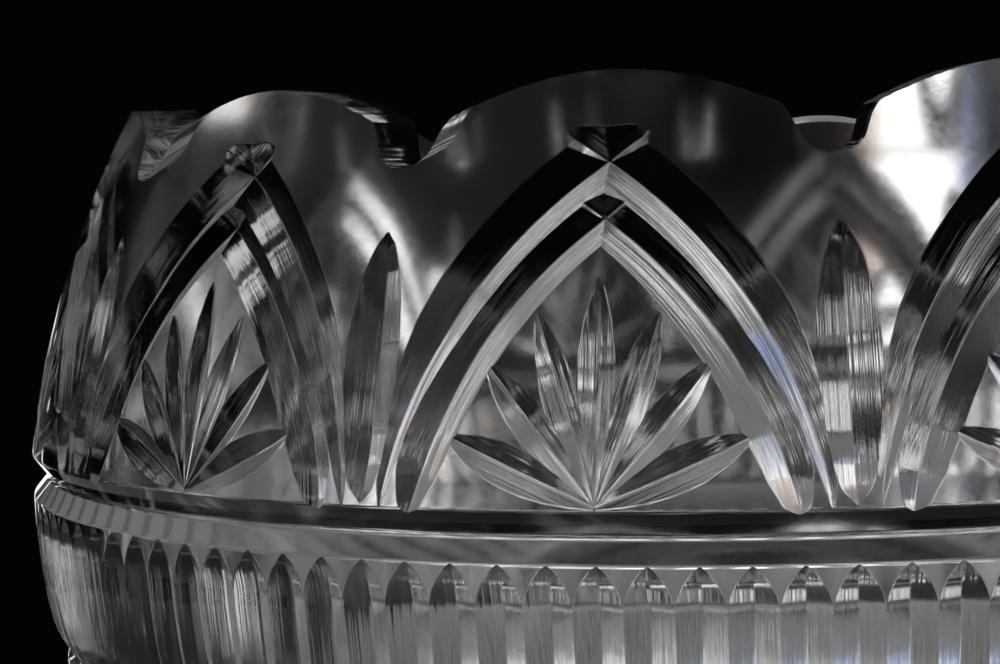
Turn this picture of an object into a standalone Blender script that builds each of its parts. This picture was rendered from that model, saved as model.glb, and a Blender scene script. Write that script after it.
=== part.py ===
"""Cut lead-crystal punch bowl on its own separate stand. Metres, +Z up, the stand's foot on z = 0.

Two loose pieces of glass. The bowl has a thick wall that leans inwards to a rim of twelve scallops,
and it stands by a ring foot in the seat of an hourglass stand, from which it lifts straight off.
"""

import math

import bmesh
import bpy
from mathutils import Matrix

# Driving dimensions, in metres.
ARCH_COUNT = 12  # scallops on the rim, and arches under them
BAND_RADIUS = 0.150  # the bowl's widest ring, the top of its fluted band
RIM_THICKNESS = 0.0115
BAND_THICKNESS = 0.0135
BASE_THICKNESS = 0.0140
SCALLOP_TOP = 0.0755  # heights on the bowl's wall are measured from the top of the fluted band
BOWL_DEPTH_BELOW_BAND = 0.1180  # from there down to the foot's underside
FOOT_RADIUS = 0.0580
FOOT_HEIGHT = 0.0080
RECESS_RADIUS = 0.0450  # hollow in the middle of the foot, and of the seat under it
STAND_SEAT = 0.0800  # height of the face that the bowl stands on
SEAT_GAP = 0.0003
LIP_HEIGHT = 0.0050  # of the lip that stops the bowl sliding off its seat
LIP_RADIUS = 0.0720
STAND_FOOT_RADIUS = 0.1000
STAND_WAIST_RADIUS = 0.0350
STAND_WAIST_HEIGHT = 0.0420
STAND_WALL = 0.0100

# Rim.
NOTCH_DEPTH = 0.0140  # from a scallop's top down to the floor of a notch
NOTCH_FLOOR_RADIUS = 0.0054
NOTCH_HALF_WIDTH = 0.0073  # at the scallops' shoulders
SCALLOP_RISE = 0.0066  # from a shoulder up to the scallop's top

# Lean of the arched wall.
WALL_FOOT_RADIUS = 0.1509
WALL_LEAN = 0.084  # inwards for each metre up, at the wall's foot
WALL_CURVE = 2.9  # by which the lean grows, per metre

FOOT_SCALLOP_RADIUS = 0.0060

BOWL_STEPS = 84
STAND_STEPS = 60
BOWL_ORIGIN = STAND_SEAT + SEAT_GAP + BOWL_DEPTH_BELOW_BAND  # the top of the fluted band


def clear_scene():
    for item in list(bpy.data.objects):
        bpy.data.objects.remove(item, do_unlink=True)


def new_collection(name):
    collection = bpy.data.collections.new(name)
    bpy.context.scene.collection.children.link(collection)
    return collection


def crystal(name, colour):
    material = bpy.data.materials.new(name)
    material.use_nodes = True
    shader = material.node_tree.nodes["Principled BSDF"]
    shader.inputs["Base Color"].default_value = colour
    shader.inputs["Roughness"].default_value = 0.02
    shader.inputs["Metallic"].default_value = 0.0
    shader.inputs["IOR"].default_value = 1.55
    shader.inputs["Transmission Weight"].default_value = 1.0
    material.diffuse_color = colour
    return material


def wall_radius(height):
    """Outer radius of the arched wall: it leans inwards, a little faster towards the rim."""
    return WALL_FOOT_RADIUS - WALL_LEAN * height - WALL_CURVE * height * height


def arched_wall():
    """Outer wall from the rim down to the groove's upper edge, as (radius, height)."""
    top, bottom, steps = SCALLOP_TOP, 0.0082, 5
    heights = [top + (bottom - top) * step / steps for step in range(steps + 1)]
    return [(wall_radius(height), height) for height in heights]


def fluted_band():
    """The groove under the arches, the band of flutes and the small groove that ends it."""
    groove_valley = (0.1470, 0.0038)
    band = [(BAND_RADIUS, 0.0), (0.1497, -0.0090), (0.1485, -0.0195), (0.1470, -0.0259), (0.1443, -0.0304)]
    lower_groove = (0.1430, -0.0319)
    return [groove_valley, *band, lower_groove]


def quarter_curve(start, end, steps, power):
    """Points from start to end that leave steeply and arrive level, both ends included."""
    points = []
    for step in range(steps + 1):
        angle = math.pi / 2 * step / steps
        radius = end[0] + (start[0] - end[0]) * math.cos(angle) ** power
        points.append((radius, start[1] + (end[1] - start[1]) * math.sin(angle)))
    return points


def bowl_outside():
    under = -BOWL_DEPTH_BELOW_BAND
    ledge = under + FOOT_HEIGHT
    belly = quarter_curve((0.1447, -0.0333), (FOOT_RADIUS + 0.004, ledge), 7, 0.9)
    foot = [(FOOT_RADIUS, ledge - 0.002), (FOOT_RADIUS, under + 0.001), (FOOT_RADIUS - 0.001, under)]
    recess = [(RECESS_RADIUS, under), (RECESS_RADIUS - 0.002, under + 0.002), (0.0, under + 0.003)]
    return [*arched_wall(), *fluted_band(), *belly, *foot, *recess]


def bowl_inside():
    """From the centre of the floor up to the rim, a wall's thickness inside the outer profile."""
    floor = -BOWL_DEPTH_BELOW_BAND + FOOT_HEIGHT + BASE_THICKNESS
    side = (BAND_RADIUS - BAND_THICKNESS, -0.012)
    rise = quarter_curve(side, (0.030, floor), 7, 0.9)[::-1]
    wall = []
    for height in (0.018, 0.045, SCALLOP_TOP):
        share = height / SCALLOP_TOP
        thickness = BAND_THICKNESS + (RIM_THICKNESS - BAND_THICKNESS) * share
        wall.append((wall_radius(height) - thickness, height))
    return [(0.0, floor - 0.001), *rise, *wall]


def flare(waist, mouth, steps, power):
    """Points from a narrow waist out to a wide mouth, curving outwards all the way, both ends included."""
    points = []
    for step in range(steps + 1):
        share = step / steps
        radius = waist[0] + (mouth[0] - waist[0]) * share**power
        points.append((radius, waist[1] + (mouth[1] - waist[1]) * share))
    return points


def stand_outside():
    """From the seat's lip down over the waist to the foot, as (radius, height)."""
    lip_top = STAND_SEAT + LIP_HEIGHT
    waist = (STAND_WAIST_RADIUS, STAND_WAIST_HEIGHT)
    cup = flare(waist, (LIP_RADIUS, lip_top - 0.002), 5, 1.8)[::-1]
    bell = flare(waist, (STAND_FOOT_RADIUS, 0.006), 7, 2.0)
    lip = [(FOOT_RADIUS + 0.002, lip_top), (LIP_RADIUS - 0.002, lip_top)]
    return [*lip, *cup, *bell[1:], (bell[-1][0] - 0.001, 0.0)]


def stand_inside():
    """The bell-shaped hollow under the stand, from the foot's inner edge up to its crown."""
    foot = STAND_FOOT_RADIUS - STAND_WALL - 0.004
    crown = (STAND_WAIST_RADIUS - STAND_WALL, STAND_WAIST_HEIGHT - STAND_WALL)
    bell = flare(crown, (foot, 0.0), 6, 2.0)[::-1]
    return [*bell, (crown[0] * 0.6, crown[1] + 0.006), (0.0, crown[1] + 0.008)]


def stand_seat():
    """The flat face that carries the bowl's foot, up to the inside of the lip."""
    recess = [(0.0, STAND_SEAT - 0.003), (RECESS_RADIUS - 0.002, STAND_SEAT - 0.002)]
    return [*recess, (RECESS_RADIUS, STAND_SEAT), (FOOT_RADIUS + 0.0015, STAND_SEAT)]


def turned(name, profile, lift, steps, collection):
    """A closed solid of revolution about Z, from a profile that runs down its outer side."""
    mesh = bpy.data.meshes.new(name)
    shape = bmesh.new()
    points = [shape.verts.new((radius, 0.0, height + lift)) for radius, height in profile]
    for upper, lower in zip(points, points[1:]):
        if upper.co.x > 0.0 or lower.co.x > 0.0:
            shape.edges.new((upper, lower))
    if profile[0][0] > 0.0:
        shape.edges.new((points[-1], points[0]))
    shape.to_mesh(mesh)
    shape.free()
    piece = bpy.data.objects.new(name, mesh)
    collection.objects.link(piece)
    screw = piece.modifiers.new("Turning", "SCREW")
    screw.axis = "Z"
    screw.angle = math.tau
    screw.steps = steps
    screw.render_steps = steps
    screw.use_merge_vertices = True
    screw.merge_threshold = 0.0001
    screw.use_smooth_shade = True
    return piece


def rim_outline():
    """The rim's edge over one arch, from notch to notch, as (share of the arch, height)."""
    floor = SCALLOP_TOP - NOTCH_DEPTH
    shoulder = SCALLOP_TOP - SCALLOP_RISE
    pitch = math.tau * wall_radius(SCALLOP_TOP) / ARCH_COUNT
    half = []
    for step in range(4):
        angle = math.radians(24.0 * step)
        across, up = math.sin(angle), 1 - math.cos(angle)
        half.append((NOTCH_FLOOR_RADIUS * across, floor + NOTCH_FLOOR_RADIUS * up))
    for step in range(7):
        share = step / 6
        across = NOTCH_HALF_WIDTH + (pitch / 2 - NOTCH_HALF_WIDTH) * share
        half.append((across, shoulder + SCALLOP_RISE * (1 - (1 - share) ** 2)))
    rising = [(across / pitch, height) for across, height in half]
    falling = [(1.0 - share, height) for share, height in reversed(rising[1:-1])]
    return [*rising, *falling]


def rim_cutter(collection):
    """A ring that stands on the rim's edge, so that cutting it away leaves the scallops and notches."""
    outline = rim_outline()
    columns = len(outline) * ARCH_COUNT
    inner, outer, top = 0.105, 0.145, BOWL_ORIGIN + SCALLOP_TOP + 0.005
    shape = bmesh.new()
    section = [(inner, BOWL_ORIGIN), (inner, top), (outer, top), (outer, BOWL_ORIGIN)]
    corners = [shape.verts.new((radius, 0.0, height)) for radius, height in section]
    edges = [shape.edges.new((corners[index - 1], corners[index])) for index in range(4)]
    axis = {"cent": (0.0, 0.0, 0.0), "axis": (0.0, 0.0, 1.0)}
    bmesh.ops.spin(shape, geom=corners + edges, angle=math.tau, steps=columns, use_merge=True, **axis)
    for corner in shape.verts:
        column = round(math.atan2(corner.co.y, corner.co.x) / math.tau * columns) % columns
        share, height = outline[column % len(outline)]
        angle = (column // len(outline) + share) * math.tau / ARCH_COUNT
        radius = corner.co.xy.length
        lift = height + BOWL_ORIGIN if corner.co.z < BOWL_ORIGIN + 0.001 else corner.co.z
        corner.co = (radius * math.cos(angle), radius * math.sin(angle), lift)
    bmesh.ops.recalc_face_normals(shape, faces=shape.faces)
    mesh = bpy.data.meshes.new("rim_cutter")
    shape.to_mesh(mesh)
    shape.free()
    return cutter_object("rim_cutter", mesh, collection)


def foot_scallop_cutter(collection):
    """Upright rods round the stand's foot, which leave its edge in twelve shallow scallops."""
    mesh = bpy.data.meshes.new("foot_scallop_cutter")
    shape = bmesh.new()
    offset = Matrix.Translation((STAND_FOOT_RADIUS + 0.002, 0.0, 0.008))
    ends = {"radius1": FOOT_SCALLOP_RADIUS, "radius2": FOOT_SCALLOP_RADIUS, "depth": 0.03}
    rod = {"cap_ends": True, "segments": 16, **ends}
    for index in range(ARCH_COUNT):
        place = Matrix.Rotation(math.tau * index / ARCH_COUNT, 4, "Z") @ offset
        bmesh.ops.create_cone(shape, matrix=place, **rod)
    shape.to_mesh(mesh)
    shape.free()
    return cutter_object("foot_scallop_cutter", mesh, collection)


def cutter_object(name, mesh, collection):
    cutter = bpy.data.objects.new(name, mesh)
    collection.objects.link(cutter)
    cutter.hide_render = True
    cutter.display_type = "WIRE"
    return cutter


def cut(piece, cutter):
    difference = piece.modifiers.new(cutter.name, "BOOLEAN")
    difference.operation = "DIFFERENCE"
    difference.solver = "EXACT"
    difference.object = cutter


def make_bowl(collection, cutters):
    bowl = turned("bowl", bowl_outside() + bowl_inside(), BOWL_ORIGIN, BOWL_STEPS, collection)
    bowl.data.materials.append(crystal("bowl_crystal", (0.93, 0.95, 0.96, 0.35)))
    cut(bowl, rim_cutter(cutters))
    return bowl


def make_stand(collection, cutters):
    profile = [*stand_seat(), *stand_outside(), *stand_inside()]
    stand = turned("stand", profile, 0.0, STAND_STEPS, collection)
    stand.data.materials.append(crystal("stand_crystal", (0.93, 0.95, 0.96, 0.35)))
    cut(stand, foot_scallop_cutter(cutters))
    return stand


def main():
    clear_scene()
    pieces = new_collection("punch_bowl")
    cutters = new_collection("cutters")
    make_bowl(pieces, cutters)
    make_stand(pieces, cutters)


main()
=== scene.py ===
import math
import bpy
import bmesh
from mathutils import Matrix, Vector


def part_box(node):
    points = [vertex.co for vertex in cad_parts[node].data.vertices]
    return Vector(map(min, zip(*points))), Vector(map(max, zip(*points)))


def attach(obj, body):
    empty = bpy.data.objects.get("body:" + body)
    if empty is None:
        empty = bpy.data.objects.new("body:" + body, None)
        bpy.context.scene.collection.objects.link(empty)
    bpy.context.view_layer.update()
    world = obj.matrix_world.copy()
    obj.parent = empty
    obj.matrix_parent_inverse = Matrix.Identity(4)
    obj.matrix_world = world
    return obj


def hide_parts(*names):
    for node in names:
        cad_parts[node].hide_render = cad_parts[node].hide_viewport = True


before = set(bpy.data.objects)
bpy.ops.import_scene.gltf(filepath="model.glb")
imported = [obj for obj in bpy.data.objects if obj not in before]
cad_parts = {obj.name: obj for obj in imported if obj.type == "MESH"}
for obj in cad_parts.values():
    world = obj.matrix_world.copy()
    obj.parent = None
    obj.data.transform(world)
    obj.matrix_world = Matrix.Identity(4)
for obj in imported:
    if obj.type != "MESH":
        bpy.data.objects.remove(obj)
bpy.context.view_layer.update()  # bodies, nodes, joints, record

halfArch = math.radians(15)  # the bowl and the stand repeat this wedge 24 times
fullTurn = math.tau
hub = 8.0  # the wedges start this far from the axis, and the hole is closed at the end
near = 0.003  # a point this close to a wedge's flat side is on it
wallSlot, cutSlot, rimSlot, insideSlot, softSlot = range(5)  # material slots on both pieces


# workshop tools; lengths are millimetres until a piece is finished

def readTable(table, x):
    for (x0, y0), (x1, y1) in zip(table, table[1:]):
        if x <= x1:
            return y0 + (y1 - y0) * max(0.0, (x - x0) / (x1 - x0))
    return table[-1][1]


def turnedPoint(angle, radius, height):
    return Vector((radius * math.cos(angle), radius * math.sin(angle), height))


def wheelCut(path, bite, flat=0.35, lift=1.3, soft=0.13):
    # a V groove to take out of a wall; path rows are point, surface normal and half width
    # bite is the depth for each unit of half width, flat the width of the floor
    # lift is how far the cutter stands out of the wall
    # soft is how deep the edge of the cut is eased, at half the slope of its sides
    bm = bmesh.new()
    grain = bm.loops.layers.uv.new("grind")
    marks, along = {}, 13.0 * len(path) + path[0][0].x
    corners, face = [], None
    for index, (point, normal, half) in enumerate(path):
        before, after = path[max(index - 1, 0)][0], path[min(index + 1, len(path) - 1)][0]
        side = normal.cross(after - before).normalized()
        half = max(half, -0.6 * lift / bite)
        floor = point - normal * (half * bite)
        top = point + normal * lift
        thin = min(flat, 0.3 * (half + lift / bite)) / 2
        eased = min(soft, 0.4 * (half * bite + lift))
        knee = point - normal * eased
        hip = (half * bite - eased) / bite
        if hip < 0.05:
            hip = 0.05 + 0.01 * half
            knee = floor + normal * (hip * bite)
        rise = (top - knee).dot(normal)
        outer, inner = hip + 2.0 * rise / bite + thin, hip + thin
        places = [top - side * outer, knee - side * inner, floor - side * thin]
        places += [floor + side * thin, knee + side * inner, top + side * outer]
        along += (point - before).length
        slant = [(along, across) for across in (-outer, -inner, -thin, thin, inner, outer)]
        if face is None:
            corners = [bm.verts.new(place) for place in places]
            face = bm.faces.new(corners)
            marks.update(zip(corners, slant))
            continue
        made = bmesh.ops.extrude_face_region(bm, geom=[face])["geom"]
        if index > 1:
            bmesh.ops.delete(bm, geom=[face], context="FACES_ONLY")  # only the two ends stay capped
        fresh = [item for item in made if isinstance(item, bmesh.types.BMVert)]
        face = next(item for item in made if isinstance(item, bmesh.types.BMFace))
        matched = [min(fresh, key=lambda v: (v.co - old.co).length_squared) for old in corners]
        for vert, place in zip(matched, places):
            vert.co = place
        corners = matched
        marks.update(zip(corners, slant))
    for face in bm.faces:
        across = [marks[vert][1] for vert in face.verts]
        narrow = max(abs(value) for value in across) < 0.2
        eased = min(abs(value) for value in across) > 0.2 and (min(across) > 0) == (max(across) > 0)
        face.material_index = softSlot if narrow or eased else cutSlot
        for loop in face.loops:
            loop[grain].uv = marks[loop.vert]
    return bm


def closeCutter(name, bm, slot=None):
    # makes a cutter a closed object; without a slot its faces keep their own
    gaps = [edge for edge in bm.edges if edge.is_boundary]
    if gaps:
        bmesh.ops.holes_fill(bm, edges=gaps)
    bmesh.ops.triangulate(bm, faces=bm.faces)
    bmesh.ops.recalc_face_normals(bm, faces=bm.faces)
    for face in bm.faces:
        if slot is not None:
            face.material_index = slot
    mesh = bpy.data.meshes.new(name)
    bm.to_mesh(mesh)
    bm.free()
    cutter = bpy.data.objects.new(name, mesh)
    bpy.context.scene.collection.objects.link(cutter)
    return cutter


def turnWedge(name, outline, steps, slots):
    # outline is a closed profile of radius and height; slots gives the material slot of each of its edges
    bm = bmesh.new()
    tag = bm.faces.layers.int.new("strip")
    bm.loops.layers.uv.new("grind")
    corners = [bm.verts.new((radius, 0.0, height)) for radius, height in outline]
    cap = bm.faces.new(corners)
    geometry = [cap, *cap.edges, *cap.verts]
    bmesh.ops.spin(bm, geom=geometry, axis=(0, 0, 1), cent=(0, 0, 0), angle=halfArch, steps=steps)
    gaps = [edge for edge in bm.edges if edge.is_boundary]
    if gaps:
        bmesh.ops.holes_fill(bm, edges=gaps)
    bmesh.ops.recalc_face_normals(bm, faces=bm.faces)
    ends = zip(outline, outline[1:] + outline[:1])
    middles = [(Vector(first) + Vector(last)) / 2 for first, last in ends]
    for face in bm.faces:
        centre = face.calc_center_median()
        here = Vector((math.hypot(centre.x, centre.y), centre.z))
        strip = min(range(len(middles)), key=lambda i: (middles[i] - here).length_squared)
        face.material_index = slots[strip]
        face[tag] = strip
    mesh = bpy.data.meshes.new(name)
    bm.to_mesh(mesh)
    bm.free()
    wedge = bpy.data.objects.new(name, mesh)
    bpy.context.scene.collection.objects.link(wedge)
    return wedge


def grind(wedge, cutters, materials):
    # takes every cutter out of the wedge and returns what is left
    for thing in (wedge, *cutters):
        for material in materials:
            thing.data.materials.append(material)
    for cutter in cutters:
        bite = wedge.modifiers.new(cutter.name, "BOOLEAN")
        bite.operation, bite.solver, bite.object = "DIFFERENCE", "EXACT", cutter
    graph = bpy.context.evaluated_depsgraph_get()
    bm = bmesh.new()
    bm.from_mesh(wedge.evaluated_get(graph).to_mesh())
    for thing in (wedge, *cutters):
        mesh = thing.data
        bpy.data.objects.remove(thing)
        bpy.data.meshes.remove(mesh)
    return bm


def ringOf(bm):
    # opens the wedge's two flat sides and its hub, mirrors it into one arch and repeats that
    edge = Vector((-math.sin(halfArch), math.cos(halfArch), 0.0))
    loose = []
    for face in bm.faces:
        atStart = all(abs(vert.co.y) < near for vert in face.verts)
        atEnd = all(abs(vert.co.dot(edge)) < near for vert in face.verts)
        atHub = all(math.hypot(vert.co.x, vert.co.y) < hub + 0.01 for vert in face.verts)
        if atStart or atEnd or atHub:
            loose.append(face)
    bmesh.ops.delete(bm, geom=loose, context="FACES")
    for vert in bm.verts:
        if abs(vert.co.y) < near:
            vert.co.y = 0.0
        slip = vert.co.dot(edge)
        if abs(slip) < near:
            vert.co -= edge * slip
    bmesh.ops.mirror(bm, geom=[*bm.verts, *bm.edges, *bm.faces], axis="Y", merge_dist=0.001)
    whole = [*bm.verts, *bm.edges, *bm.faces]
    turn = fullTurn * 11 / 12
    bmesh.ops.spin(bm, geom=whole, axis=(0, 0, 1), cent=(0, 0, 0), angle=turn, steps=11,
                   use_duplicate=True)
    bmesh.ops.remove_doubles(bm, verts=bm.verts, dist=0.004)
    bmesh.ops.dissolve_degenerate(bm, edges=bm.edges, dist=0.001)
    gaps = [item for item in bm.edges if item.is_boundary]
    bmesh.ops.holes_fill(bm, edges=gaps)
    bmesh.ops.rotate(bm, verts=bm.verts, cent=(0, 0, 0),
                     matrix=Matrix.Rotation(halfArch, 3, "Z"))  # brings a notch onto +X
    bmesh.ops.recalc_face_normals(bm, faces=bm.faces)
    return bm


def roundNarrow(mesh, normals):
    # shades the narrow strips at the edges and floors of the cuts as if they were rounded
    around = {}
    for polygon in mesh.polygons:
        for corner in polygon.loop_indices:
            vertex = mesh.loops[corner].vertex_index
            soft = polygon.material_index == softSlot
            around.setdefault(vertex, []).append((soft, corner, polygon.index))
    for polygon in mesh.polygons:
        if polygon.material_index != softSlot:
            continue
        own = polygon.normal
        for corner in polygon.loop_indices:
            others = around[mesh.loops[corner].vertex_index]
            wide = [normals[other] for soft, other, index in others if not soft]
            wide = [normal for normal in wide if normal.dot(own) > 0.7]
            if wide:
                normals[corner] = max(wide, key=own.dot)
                continue
            total = sum((mesh.polygons[index].normal for soft, other, index in others if soft), Vector())
            if total.length > 0.5 and total.normalized().dot(own) > 0.8:
                normals[corner] = total.normalized()


def easeCorners(rows, size=0.45):
    # puts a short arc in place of each crisp corner of a closed profile
    # rows are radius, height and slot
    eased = []
    for index, (radius, height, slot) in enumerate(rows):
        here = Vector((radius, height))
        before = Vector(rows[index - 1][:2]) - here
        after = Vector(rows[(index + 1) % len(rows)][:2]) - here
        turn = math.pi - before.angle(after)
        reach = min(size, 0.4 * before.length, 0.4 * after.length)
        if turn < math.radians(14) or reach < 0.1 or radius < hub + 1.0:
            eased.append((radius, height, slot))
            continue
        start, end = here + before.normalized() * reach, here + after.normalized() * reach
        for step in range(4):
            share = step / 3
            spot = start * (1 - share) ** 2 + here * 2 * share * (1 - share) + end * share ** 2
            eased.append((spot.x, spot.y, slot))
    return eased


def easeRim(bm, width):
    # rounds the edges where the ground rim meets the walls
    edges = []
    for edge in bm.edges:
        slots = {face.material_index for face in edge.link_faces}
        if slots in ({rimSlot, wallSlot}, {rimSlot, insideSlot}):
            edges.append(edge)
    bmesh.ops.bevel(bm, geom=edges, offset=width, offset_type="OFFSET", affect="EDGES", segments=2,
                    profile=0.5, material=rimSlot, clamp_overlap=True, loop_slide=True)


def polish(name, bm, outline, lift, materials):
    # smooths the turned faces by their profile, and keeps every wheel cut crisp
    count = len(outline)
    points = [Vector(point) for point in outline]
    ways = [(points[(i + 1) % count] - points[i]).normalized() for i in range(count)]
    faces = [Vector((way.y, -way.x)) for way in ways]
    area = sum(points[i].cross(points[(i + 1) % count]) for i in range(count))
    if area < 0:
        faces = [-normal for normal in faces]

    def cornerNormal(strip, atEnd):
        other = (strip + 1) % count if atEnd else (strip - 1) % count
        if faces[strip].dot(faces[other]) < math.cos(math.radians(16)):
            return faces[strip]
        return (faces[strip] + faces[other]).normalized()

    tag = bm.faces.layers.int["strip"]
    bm.normal_update()
    for edge in bm.edges:
        two = edge.link_faces
        if len(two) == 2:
            mixed = two[0].material_index != two[1].material_index
            edge.smooth = not mixed and edge.calc_face_angle(0.0) < math.radians(13)
    for face in bm.faces:
        face.smooth = True
    strips = [face[tag] for face in bm.faces]
    bmesh.ops.scale(bm, vec=(0.001,) * 3, verts=bm.verts)
    bmesh.ops.translate(bm, vec=(0.0, 0.0, lift), verts=bm.verts)
    mesh = bpy.data.meshes.new(name)
    bm.to_mesh(mesh)
    bm.free()
    mesh.attributes.remove(mesh.attributes["strip"])
    for material in materials:
        mesh.materials.append(material)
    normals = [Vector(item.vector) for item in mesh.corner_normals]
    for polygon in mesh.polygons:
        if polygon.material_index not in (wallSlot, insideSlot):
            continue
        strip = strips[polygon.index]
        start, way = points[strip], ways[strip]
        long = (points[(strip + 1) % count] - start).length
        first, last = cornerNormal(strip, False), cornerNormal(strip, True)
        for corner in polygon.loop_indices:
            spot = mesh.vertices[mesh.loops[corner].vertex_index].co
            radius = math.hypot(spot.x, spot.y) * 1000
            if radius < 1.0:
                continue
            share = (Vector((radius, (spot.z - lift) * 1000)) - start).dot(way) / long
            share = min(max(share, 0.0), 1.0)
            blend = (first * (1 - share) + last * share).normalized()
            angle = math.atan2(spot.y, spot.x)
            normal = Vector((blend.x * math.cos(angle), blend.x * math.sin(angle), blend.y))
            if normal.dot(polygon.normal) > 0.8:
                normals[corner] = normal
    roundNarrow(mesh, normals)
    mesh.normals_split_custom_set([tuple(normal) for normal in normals])
    piece = bpy.data.objects.new(name, mesh)
    bpy.context.scene.collection.objects.link(piece)
    return piece


# crystal

def crystal(name, look):
    material = bpy.data.materials.new(name)
    material.use_nodes = True
    nodes, links = material.node_tree.nodes, material.node_tree.links
    nodes.clear()
    output = nodes.new("ShaderNodeOutputMaterial")
    glass = nodes.new("ShaderNodeBsdfPrincipled")
    glass.inputs["Transmission Weight"].default_value = 1.0
    glass.inputs["IOR"].default_value = look["bending"]
    glass.inputs["Base Color"].default_value = (*look["tint"], 1.0)
    place = nodes.new("ShaderNodeTexCoord")
    grain = nodes.new("ShaderNodeTexNoise")
    grain.inputs["Scale"].default_value = look["grainScale"]
    if look.get("wheelMarks"):
        height = wheelMarks(nodes, links, look)
    else:
        grain.inputs["Detail"].default_value = 3.0
        height = slowWaves(nodes, links, place, grain, look)
    bump = nodes.new("ShaderNodeBump")
    bump.inputs["Strength"].default_value = 1.0
    bump.inputs["Distance"].default_value = look["waveHeight"]
    rough = nodes.new("ShaderNodeMapRange")
    rough.inputs["From Min"].default_value = 0.35
    rough.inputs["From Max"].default_value = 0.75
    rough.inputs["To Min"].default_value = look["polished"]
    rough.inputs["To Max"].default_value = look["worn"]
    links.new(place.outputs["Object"], grain.inputs["Vector"])
    links.new(grain.outputs["Fac"], rough.inputs["Value"])
    links.new(rough.outputs["Result"], glass.inputs["Roughness"])
    links.new(height, bump.inputs["Height"])
    links.new(bump.outputs["Normal"], glass.inputs["Normal"])
    links.new(glass.outputs["BSDF"], output.inputs["Surface"])
    return material


def slowWaves(nodes, links, place, grain, look):
    # the slow unevenness of blown glass, with a little of its grain
    waves = nodes.new("ShaderNodeTexNoise")
    waves.inputs["Scale"].default_value = look["waveScale"]
    waves.inputs["Detail"].default_value = 2.0
    mix = nodes.new("ShaderNodeMath")
    mix.operation = "MULTIPLY_ADD"
    mix.inputs[1].default_value = look["grainShare"]
    links.new(place.outputs["Object"], waves.inputs["Vector"])
    links.new(grain.outputs["Fac"], mix.inputs[0])
    links.new(waves.outputs["Fac"], mix.inputs[2])
    return mix.outputs["Value"]


def wheelMarks(nodes, links, look):
    # long fine lines that run with each cut, as the stone wheel leaves them
    route = nodes.new("ShaderNodeUVMap")
    route.uv_map = "grind"
    height = None
    for name in ("broad", "fine"):
        stretch = nodes.new("ShaderNodeMapping")
        stretch.inputs["Scale"].default_value = (look[name][0], look[name][1], 1.0)
        lines = nodes.new("ShaderNodeTexNoise")
        lines.inputs["Scale"].default_value = 1.0
        lines.inputs["Detail"].default_value = 2.0
        share = nodes.new("ShaderNodeMath")
        share.operation = "MULTIPLY_ADD"
        share.inputs[1].default_value = look[name][2]
        share.inputs[2].default_value = 0.0
        links.new(route.outputs["UV"], stretch.inputs["Vector"])
        links.new(stretch.outputs["Vector"], lines.inputs["Vector"])
        links.new(lines.outputs["Fac"], share.inputs[0])
        if height is not None:
            links.new(height, share.inputs[2])
        height = share.outputs["Value"]
    return height


# wave scales are for each metre and heights in metres
# broad and fine are lines for each millimetre along the cut, across it, and their height
blownGlass = {
    "bending": 1.545, "tint": (1.0, 1.0, 1.0), "waveScale": 38.0, "waveHeight": 0.00012,
    "grainScale": 900.0, "grainShare": 0.01, "polished": 0.0, "worn": 0.012,
}
cutGlass = dict(blownGlass, wheelMarks=True, waveHeight=0.001, grainScale=1600.0,
                broad=(0.014, 0.8, 0.16), fine=(0.022, 3.0, 0.05))
rimGlass = dict(blownGlass, polished=0.02, worn=0.05, waveScale=90.0)
insideGlass = dict(blownGlass, polished=0.09, worn=0.13, waveScale=24.0, waveHeight=0.0002)
softGlass = dict(blownGlass, waveScale=400.0, waveHeight=0.00002, polished=0.0, worn=0.06)


def crystals(names):
    # one material for each slot, in the slots' order
    looks = (blownGlass, cutGlass, rimGlass, insideGlass, softGlass)
    return [crystal(name, look) for name, look in zip(names, looks)]


bowlGlasses = crystals(("bowlBlownWall", "bowlWheelCuts", "bowlRimFace", "bowlInside", "bowlEasedEdges"))
standGlasses = crystals(("standBlownWall", "standWheelCuts", "standEdges", "standHollow", "standEasedEdges"))
print("crystal mixed")


# bowl; heights are measured from the tips of the flutes

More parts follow.
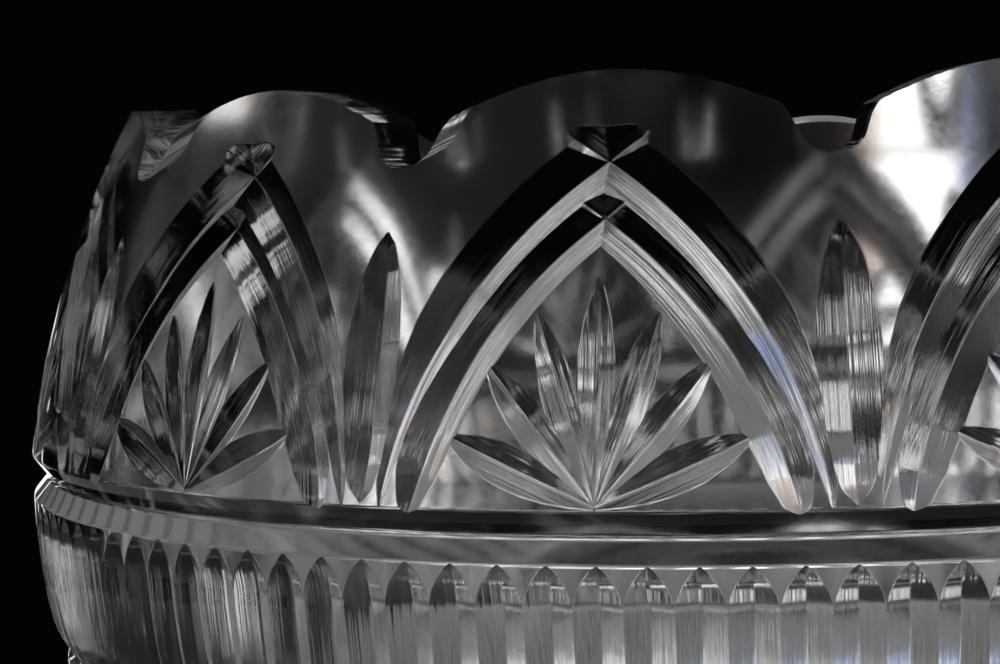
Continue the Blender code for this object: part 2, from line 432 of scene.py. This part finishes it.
bowl = {
    "wallMiddle": 145.0,  # radius at which the arches' widths are laid out
    "scallopTop": 75.5,
    "shoulder": 68.9,
    "notchFloor": 61.0,
    "notchRadius": 5.5,
    "notchHalfWidth": 7.3,
    "rimEase": 0.9,
    "wallHeights": (78, 74, 70, 66, 62, 57, 52, 47, 42, 37, 32, 27, 22, 17, 12, 8.2),
    "groove": ((147.1, 4.3), (147.1, 3.5)),  # radius, height
    "smallGroove": ((143.1, -31.6), (143.1, -32.1)),
    "bellyTop": (144.7, -33.3), "bellyFoot": (62.0, -110.0),
    "foot": ((62.0, -110.0), (59.0, -110.8), (58.0, -112.5), (58.0, -116.6), (57.5, -117.6), (56.6, -118.0),
             (45.6, -118.0), (44.8, -117.7), (43.0, -116.0), (24.0, -115.2)),
    "footMiddle": -115.1,
    "cavityTop": (136.5, -12.0), "cavityFloor": (30.0, -96.0), "cavityMiddle": -97.0,
    "rimThickness": 11.5, "wallThickness": 13.5,
    # degrees round the arch and half width of the cut
    "outerArch": ((3.6, -0.5), (9.5, 0.9), (16.1, 2.1), (23.4, 3.5), (29.8, 4.6), (35.5, 5.1),
                  (57.0, 5.1), (60.0, 4.8), (63.0, 3.2), (65.0, 1.7), (66.4, -0.5)),
    "outerCentre": (-35.9, 0.8), "outerRadius": 70.9,
    "innerArch": ((7.8, -0.5), (11.2, 2.0), (15.0, 3.5), (20.8, 4.4), (38.4, 4.5), (55.0, 4.0),
                  (57.4, 3.4), (60.0, 1.3), (61.3, -0.5)),
    "innerCentre": (-37.2, -4.2), "innerRadius": 68.0,
    "bite": 0.53,
    "fanBase": 8.9, "leafBite": 0.56,
    # lean from upright, length and half width
    "leaves": ((0.0, 35.3, 2.9), (18.5, 31.2, 2.8), (39.1, 28.6, 2.8), (66.1, 26.2, 3.3)),
    "leafShape": ((0.0, 0.12), (0.12, 0.42), (0.3, 0.82), (0.48, 1.0), (0.65, 0.95), (0.8, 0.68),
                  (0.92, 0.3), (1.0, -0.1)),
    # height and half width
    "lancet": ((8.2, -0.5), (11.0, 2.0), (15.0, 3.6), (20.0, 4.6), (27.0, 4.9), (34.0, 5.0), (40.0, 4.3),
               (45.0, 3.1), (49.0, 1.5), (51.6, -0.4)),
    "flute": ((-31.2, -0.4), (-29.8, 1.5), (-27.6, 3.0), (-25.0, 3.8), (-22.5, 4.02), (-7.4, 4.02),
              (-6.0, 3.85), (-4.4, 3.3), (-2.8, 2.5), (-1.2, 1.3), (0.2, -0.2)),
    "flutePitch": 3.0,
    "bellyFlutes": {"pitch": 7.5, "bite": 0.3, "overlap": 1.015, "tipRun": 6, "footRun": 3, "footPower": 2.0,
                    "sink": 0.5, "lift": 2.5},
    "starRay": ((11.0, -0.2), (15.0, 0.5), (20.0, 0.8), (26.0, 1.0), (32.0, 1.1), (37.0, 0.9), (41.0, -0.2)),
    "starPitch": 3.75, "starHeight": -115.6, "starBite": 0.6,
}


def wallRadius(height):
    return 150.9 - 0.084 * height - 0.0029 * height * height


def bellyCurve(start, end, steps):
    rows = []
    for step in range(steps + 1):
        angle = math.pi / 2 * step / steps
        radius = end[0] + (start[0] - end[0]) * math.cos(angle) ** 0.9
        rows.append((radius, start[1] + (end[1] - start[1]) * math.sin(angle)))
    return rows


bandRows = [  # height and radius of the band that the flutes are cut into
    (0.0, 150.0), (-4.5, 149.9), (-9.0, 149.7), (-14.0, 149.2), (-19.5, 148.5), (-23.0, 147.8),
    (-25.9, 147.0), (-30.4, 144.3),
]


def bowlOutline():
    outside = [(wallRadius(height), height) for height in bowl["wallHeights"]]
    outside += bowl["groove"]
    outside += [(radius, height) for height, radius in bandRows]
    outside += bowl["smallGroove"]
    outside += bellyCurve(bowl["bellyTop"], bowl["bellyFoot"], 16)[:-1]
    outside += [*bowl["foot"], (hub, bowl["footMiddle"])]
    inside = [(hub, bowl["cavityMiddle"]), bowl["cavityFloor"]]
    inside += bellyCurve(bowl["cavityTop"], bowl["cavityFloor"], 18)[-2::-1]
    thinning = bowl["wallThickness"] - bowl["rimThickness"]
    for height in (3, 18, 31, 45, 60, 78):
        thick = bowl["wallThickness"] - thinning * height / bowl["scallopTop"]
        inside.append((wallRadius(height) - thick, height))
    return [(*spot, wallSlot) for spot in outside] + [(*spot, insideSlot) for spot in inside]


def wallPath(spots):
    path = []
    for across, height, half in spots:
        angle = across / bowl["wallMiddle"]
        slope = (wallRadius(height + 0.5) - wallRadius(height - 0.5))
        normal = Vector((math.cos(angle), math.sin(angle), -slope)).normalized()
        path.append((turnedPoint(angle, wallRadius(height), height), normal, half))
    return path


def archSpots(centre, radius, table, hand, steps=30):
    first, last = table[0][0], table[-1][0]
    even = {first + (last - first) * step / steps for step in range(steps + 1)}
    stops = sorted(even | {row[0] for row in table})
    spots = []
    for stop in stops:
        angle = math.radians(stop)
        across = centre[0] + radius * math.cos(angle)
        spots.append((hand * across, centre[1] + radius * math.sin(angle), readTable(table, stop)))
    return spots


def profilePath(angle, rows, widths):
    # straight down a turned profile; rows are radius and height, from top to bottom
    path = []
    for index, (radius, height) in enumerate(rows):
        above, below = rows[max(index - 1, 0)], rows[min(index + 1, len(rows) - 1)]
        fall = Vector((below[0] - above[0], below[1] - above[1])).normalized()
        normal = turnedPoint(angle, -fall.y, fall.x)
        path.append((turnedPoint(angle, radius, height), normal, widths(index, radius, height)))
    return path


def taperedFlutes(name, rows, look, count=3):
    # flutes that fill the turn between them and run out at both ends of a turned profile
    def widths(index, radius, height):
        full = math.radians(look["pitch"]) * radius / 2 * look["overlap"]
        top = min(1.0, index / look["tipRun"])
        end = min(1.0, (len(rows) - 1 - index) / look["footRun"])
        sink = look["sink"] * (index in (0, len(rows) - 1))
        return full * (1 - (1 - top) ** 1.8) * (1 - (1 - end) ** look["footPower"]) - sink

    cutters = []
    for number in range(count):
        path = profilePath(math.radians(look["pitch"] * number), rows, widths)
        cutters.append(closeCutter(name, wheelCut(path, look["bite"], lift=look["lift"])))
    return cutters


def rimCutter():
    # everything above the scallops and in the notch, as one block cut on the rim's outline
    pitch = fullTurn * wallRadius(bowl["scallopTop"]) / 24
    notch = []
    for step in range(9):
        swing = math.radians(78) * step / 8
        height = bowl["notchFloor"] + bowl["notchRadius"] * (1 - math.cos(swing))
        notch.append((bowl["notchRadius"] * math.sin(swing), height))
    rise = bowl["scallopTop"] - bowl["shoulder"]
    crest = []
    for step in range(15):
        share = step / 14
        across = bowl["notchHalfWidth"] + (pitch - bowl["notchHalfWidth"]) * share
        crest.append((across, bowl["shoulder"] + rise * (1 - (1 - share) ** 2)))
    half = [(halfArch - across / pitch * halfArch, height) for across, height in notch + crest]
    line = [(2 * halfArch - angle, height) for angle, height in reversed(half[1:6])] + half
    line += [(-half[-2][0], half[-2][1])]
    line = [(line[0][0], 90.0), *line, (line[-1][0], 90.0)]
    innerReach, outerReach = 100.0, 165.0
    bm = bmesh.new()
    inside = [bm.verts.new(turnedPoint(angle, innerReach, height)) for angle, height in line]
    face = bm.faces.new(inside)
    made = bmesh.ops.extrude_face_region(bm, geom=[face])["geom"]
    for vert in made:
        if isinstance(vert, bmesh.types.BMVert):
            scale = outerReach / innerReach
            vert.co.x *= scale
            vert.co.y *= scale
    return bm


def archCutters(hand):
    # one side of the arch and of its fan; the middle leaf and the flattest one are cut only once
    cutters = []
    for kind in ("outer", "inner"):
        spots = archSpots(bowl[kind + "Centre"], bowl[kind + "Radius"], bowl[kind + "Arch"], hand)
        cutters.append(closeCutter(kind + "Groove", wheelCut(wallPath(spots), bowl["bite"])))
    for lean, length, half in bowl["leaves"]:
        if hand < 0 and (lean == 0.0 or lean > 60):
            continue
        spots = []
        for step in range(15):
            share = step / 14
            reach = length * share
            across, up = reach * math.sin(math.radians(lean)), reach * math.cos(math.radians(lean))
            width = half * readTable(bowl["leafShape"], share)
            spots.append((hand * across, bowl["fanBase"] + up, width))
        cutters.append(closeCutter("leaf", wheelCut(wallPath(spots), bowl["leafBite"])))
    return cutters


def bandCutters():
    cutters = []
    heights = [row[0] for row in bowl["flute"]] + [-10.0, -13.0, -16.0, -19.5]
    heights = sorted(set(heights), reverse=True)
    table = [(height, radius) for height, radius in reversed(bandRows)] + [(2.0, 150.0)]
    rows = [(readTable(table, height), height) for height in heights]
    for count in range(6):
        angle = math.radians(bowl["flutePitch"] * count)
        path = profilePath(angle, rows, lambda index, radius, height: readTable(bowl["flute"], height))
        cutters.append(closeCutter("flute", wheelCut(path, bowl["bite"])))
    return cutters


def bowlCutters():
    cutters = [closeCutter("rimCut", rimCutter(), rimSlot)]
    cutters += archCutters(1) + archCutters(-1)
    across = halfArch * bowl["wallMiddle"]
    even = {8.2 + 43.4 * step / 20 for step in range(21)}
    stops = sorted(even | {row[0] for row in bowl["lancet"]})
    lancet = [(across, height, readTable(bowl["lancet"], height)) for height in stops]
    cutters.append(closeCutter("lancet", wheelCut(wallPath(lancet), bowl["bite"])))
    cutters += bandCutters()
    rows = bellyCurve(bowl["bellyTop"], bowl["bellyFoot"], 26)[1:-1]
    cutters += taperedFlutes("bellyFlute", rows, bowl["bellyFlutes"])
    down, low = Vector((0.0, 0.0, -1.0)), bowl["starHeight"]
    for count in range(5):
        angle = math.radians(bowl["starPitch"] * count)
        path = [(turnedPoint(angle, radius, low), down, half) for radius, half in bowl["starRay"]]
        cutters.append(closeCutter("starRay", wheelCut(path, bowl["starBite"], flat=0.1, lift=1.6)))
    return cutters


def makeBowl():
    rows = easeCorners(bowlOutline())
    outline = [(radius, height) for radius, height, slot in rows]
    slots = [row[2] for row in rows]
    low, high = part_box("bowl")
    lift = high.z - bowl["scallopTop"] * 0.001
    bm = grind(turnWedge("bowlWedge", outline, 10, slots), bowlCutters(), bowlGlasses)
    bm = ringOf(bm)
    easeRim(bm, bowl["rimEase"])
    piece = polish("bowlCut", bm, outline, lift, bowlGlasses)
    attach(piece, "bowl")
    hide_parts("bowl")
    return piece


# stand

stand = {
    "seat": 80.0, "lip": 85.0, "foot": (100.0, 6.0), "waist": (35.0, 42.0), "mouth": (72.0, 83.0),
    "hollowTop": (25.0, 32.0), "hollowMouth": (86.0, 0.8),
    "scallopRadius": 6.0, "scallopFromAxis": 102.0,
    "flutes": {"pitch": 7.5, "bite": 0.42, "overlap": 1.01, "tipRun": 4, "footRun": 4, "footPower": 1.8,
               "sink": 0.4, "lift": 1.6},
}


def flareOut(waist, mouth, steps, power):
    rows = []
    for step in range(steps + 1):
        share = step / steps
        radius = waist[0] + (mouth[0] - waist[0]) * share ** power
        rows.append((radius, waist[1] + (mouth[1] - waist[1]) * share))
    return rows


standSide = flareOut(stand["waist"], stand["mouth"], 12, 1.8)[::-1]
standSide += flareOut(stand["waist"], stand["foot"], 16, 2.0)[1:]


def standOutline():
    seat, lip = stand["seat"], stand["lip"]
    outside = [(60.6, lip), (70.8, lip), (71.7, lip - 0.7), *standSide]
    outside += [(100.0, 2.2), (99.4, 0.6), (98.4, 0.0)]
    inside = [(87.2, 0.0), (86.2, 0.5)]
    inside += flareOut(stand["hollowTop"], stand["hollowMouth"], 12, 2.0)[-2::-1]
    inside += [(20.5, 35.6), (15.0, 38.0), (hub, 39.6), (hub, 77.1)]
    inside += [(43.0, seat - 2.0), (45.0, seat), (59.5, seat)]
    rows = [(*spot, wallSlot) for spot in outside] + [(*spot, insideSlot) for spot in inside]
    return rows + [(59.5, lip - 0.8, wallSlot)]


def standCutters():
    bm = bmesh.new()
    size = stand["scallopRadius"]
    place = Matrix.Rotation(halfArch, 4, "Z") @ Matrix.Translation((stand["scallopFromAxis"], 0.0, 8.0))
    bmesh.ops.create_cone(bm, cap_ends=True, segments=28, radius1=size, radius2=size, depth=30.0,
                          matrix=place)
    scallop = closeCutter("footScallop", bm, rimSlot)
    return [scallop] + taperedFlutes("standFlute", standSide[1:-2], stand["flutes"])


def makeStand():
    rows = easeCorners(standOutline())
    outline = [(radius, height) for radius, height, slot in rows]
    slots = [row[2] for row in rows]
    bm = grind(turnWedge("standWedge", outline, 10, slots), standCutters(), standGlasses)
    bm = ringOf(bm)
    piece = polish("standCut", bm, outline, 0.0, standGlasses)
    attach(piece, "stand")
    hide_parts("stand")
    return piece


for piece in (makeBowl(), makeStand()):
    bm = bmesh.new()
    bm.from_mesh(piece.data)
    openEdges = sum(not edge.is_manifold for edge in bm.edges)
    print(piece.name, "triangles", len(bm.calc_loop_triangles()), "open edges", openEdges)
    bm.free()


# floor, light and camera

studio = {
    "floorRadius": 0.75, "floorTone": 0.75, "surround": 0.001,
    "reach": 0.9,  # from the bowl's axis to the upright boxes
    "white": (1, 1, 1), "warm": (1, 0.45, 0.08), "blue": (0.08, 0.3, 1),
    # name, bearing from straight behind, lowest, highest, width, radiance, colour
    "uprights": (
        ("leftBox", -25.0, 0.0, 0.22, 0.095, 1.6, "white"),
        ("leftStrip", -32.5, 0.0, 0.24, 0.014, 1.6, "white"),
        ("leftFarStrip", -39.0, 0.0, 0.24, 0.016, 1.6, "white"),
        ("leftWarm", -21.8, 0.0, 0.22, 0.004, 1.2, "warm"),
        ("leftBlue", -28.2, 0.0, 0.22, 0.004, 1.2, "blue"),
        ("rightBox", 13.3, 0.0, 0.25, 0.056, 1.7, "white"),
        ("rightStrip", 19.0, 0.0, 0.22, 0.012, 1.6, "white"),
        ("rightMiddleStrip", 24.5, 0.0, 0.22, 0.012, 1.6, "white"),
        ("rightFarBox", 32.0, 0.0, 0.24, 0.075, 1.6, "white"),
        ("rightWarm", 11.3, 0.0, 0.25, 0.003, 1.2, "warm"),
        ("rightBlue", 15.3, 0.0, 0.25, 0.003, 1.2, "blue"),
        ("rightStripWarm", 18.5, 0.0, 0.22, 0.003, 1.2, "warm"),
        ("rightStripBlue", 19.5, 0.0, 0.22, 0.003, 1.2, "blue"),
        ("rightHighBox", 43.0, 0.31, 0.45, 0.07, 1.2, "white"),
        ("sideBox", -88.0, 0.0, 0.28, 0.12, 0.7, "white"),
        ("rightSideBox", 86.0, 0.0, 0.3, 0.12, 0.9, "white"),
        ("nearLeftBox", -140.0, 0.0, 0.34, 0.14, 0.9, "white"),
        ("nearRightBox", 132.0, 0.0, 0.34, 0.14, 0.9, "white"),
    ),
    # name, place, aim, width, height, radiance, colour, shown in the glass
    "lamps": (
        ("lowBox", (-0.03, 0.42, 0.015), (0, 0, 0.22), 0.14, 0.045, 1.6, "white", True),
        ("lowWarm", (-0.03, 0.392, 0.006), (0, 0, 0.22), 0.14, 0.005, 1.2, "warm", True),
        ("lowBlue", (-0.03, 0.445, 0.033), (0, 0, 0.22), 0.14, 0.005, 1.2, "blue", True),
        ("lowRight", (0.20, 0.45, 0.015), (0, 0, 0.22), 0.10, 0.02, 1.6, "white", True),
        ("topBox", (0.0, 0.1, 1.3), (0, 0, 0.1), 0.3, 0.3, 1.6, "white", True),
        ("floorBox", (0.0, 0.0, 1.6), (0, 0, 0.0), 1.2, 1.2, 1.5, "white", False),
    ),
}


def makeFloor():
    bm = bmesh.new()
    bmesh.ops.create_circle(bm, cap_ends=True, segments=96, radius=studio["floorRadius"])
    mesh = bpy.data.meshes.new("floor")
    bm.to_mesh(mesh)
    bm.free()
    floor = bpy.data.objects.new("floor", mesh)
    bpy.context.scene.collection.objects.link(floor)
    paint = bpy.data.materials.new("floorPaper")
    paint.use_nodes = True
    surface = paint.node_tree.nodes["Principled BSDF"]
    surface.inputs["Base Color"].default_value = (studio["floorTone"],) * 3 + (1.0,)
    surface.inputs["Roughness"].default_value = 0.7
    mesh.materials.append(paint)


def makeLamps():
    lamps = list(studio["lamps"])
    for name, bearing, low, high, width, radiance, colour in studio["uprights"]:
        angle, middle = math.radians(bearing), (low + high) / 2
        place = (studio["reach"] * math.sin(angle), studio["reach"] * math.cos(angle), middle)
        lamps.append((name, place, (0, 0, middle), width, high - low, radiance, colour, True))
    for name, place, aim, width, height, radiance, colour, shown in lamps:
        lamp = bpy.data.lights.new(name, "AREA")
        lamp.shape, lamp.size, lamp.size_y = "RECTANGLE", width, height
        lamp.energy, lamp.color = radiance * math.pi * width * height, studio[colour]
        holder = bpy.data.objects.new(name, lamp)
        holder.location = place
        holder.rotation_euler = (Vector(aim) - Vector(place)).to_track_quat("-Z", "Y").to_euler()
        holder.visible_camera = False
        holder.visible_transmission = holder.visible_glossy = shown
        bpy.context.scene.collection.objects.link(holder)
    world = bpy.data.worlds.new("studioDark")
    world.use_nodes = True
    world.node_tree.nodes["Background"].inputs["Color"].default_value = (studio["surround"],) * 3 + (1.0,)
    bpy.context.scene.world = world
    bpy.context.scene.view_settings.view_transform = "Standard"


view = {
    "lens": 82.99, "sensor": 36.0,
    "distance": 0.49146, "height": 0.2527, "round": -5.864,  # from the bowl's axis, and degrees round it
    "yaw": 0.313, "pitch": -3.106, "roll": -1.809,
}


def makeCamera():
    data = bpy.data.cameras.new("camera")
    data.lens, data.sensor_width = view["lens"], view["sensor"]
    camera = bpy.data.objects.new("camera", data)
    yaw, pitch, roll, turn = (math.radians(view[key]) for key in ("yaw", "pitch", "roll", "round"))
    ahead = Vector((-math.sin(yaw), math.cos(yaw), 0.0))
    right = Vector((math.cos(yaw), math.sin(yaw), 0.0))
    up = Vector((0.0, 0.0, 1.0))
    sight = ahead * math.cos(pitch) + up * math.sin(pitch)
    over = -ahead * math.sin(pitch) + up * math.cos(pitch)
    across = right * math.cos(roll) + over * math.sin(roll)
    over = -right * math.sin(roll) + over * math.cos(roll)
    place = Vector((view["distance"] * math.sin(turn), -view["distance"] * math.cos(turn), view["height"]))
    facing = Matrix((across, over, -sight)).transposed().to_4x4()
    camera.matrix_world = Matrix.Translation(place) @ facing
    data.clip_start = 0.01
    bpy.context.scene.collection.objects.link(camera)
    bpy.context.scene.camera = camera


makeFloor()
makeLamps()
makeCamera()
print("studio lit")
